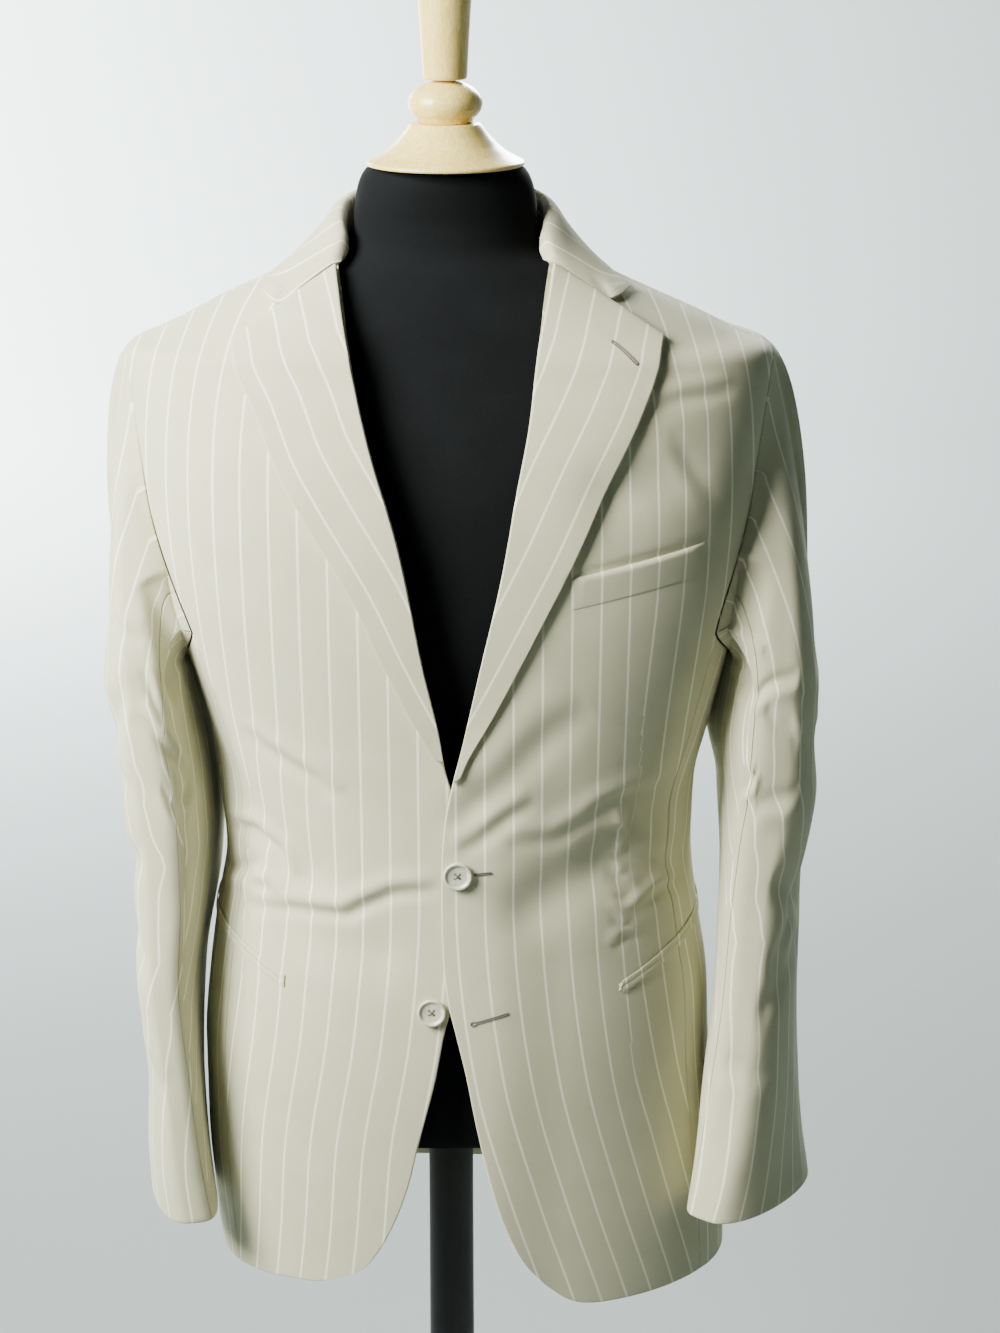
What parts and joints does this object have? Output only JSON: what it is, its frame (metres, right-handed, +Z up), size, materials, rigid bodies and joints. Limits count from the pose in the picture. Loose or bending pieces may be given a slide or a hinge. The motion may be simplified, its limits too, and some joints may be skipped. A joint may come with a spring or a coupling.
{
  "type": "suit jacket on a dress form",
  "caption": "Single-breasted notch-lapel suit jacket, worn buttoned on a limbless padded dress form with a pole and a round weighted base.",
  "frame": {"origin": "centre of the round base's underside, on the floor under the pole", "axes": "+Z up the pole, the front faces -Y, +X towards the wearer's left"},
  "size_m": [0.5231, 0.38, 1.66],
  "materials": {
    "suit_cloth": "matte greige wool with cream pinstripes",
    "button_horn": "satin off-white horn",
    "form_jersey": "matte black stretch jersey",
    "varnished_wood": "clear satin varnish",
    "black_enamel": "black satin enamel"
  },
  "bodies": {
    "root": {"front_left": "suit_cloth", "front_right": "suit_cloth", "side_left": "suit_cloth", "side_right": "suit_cloth", "back_left": "suit_cloth", "back_right": "suit_cloth", "top_sleeve_left": "suit_cloth", "top_sleeve_right": "suit_cloth", "under_sleeve_left": "suit_cloth", "under_sleeve_right": "suit_cloth", "lapel_left": "suit_cloth", "lapel_right": "suit_cloth", "collar": "suit_cloth", "breast_welt": "suit_cloth", "pocket_jet_upper_left": "suit_cloth", "pocket_jet_lower_left": "suit_cloth", "pocket_jet_upper_right": "suit_cloth", "pocket_jet_lower_right": "suit_cloth", "button_upper": "button_horn", "button_lower": "button_horn", "form_torso": "form_jersey", "neck_cap": "varnished_wood", "cap_knob": "varnished_wood", "finial_post": "varnished_wood", "stand_pole": "black_enamel", "stand_base": "black_enamel"}
  },
  "joints": []
}
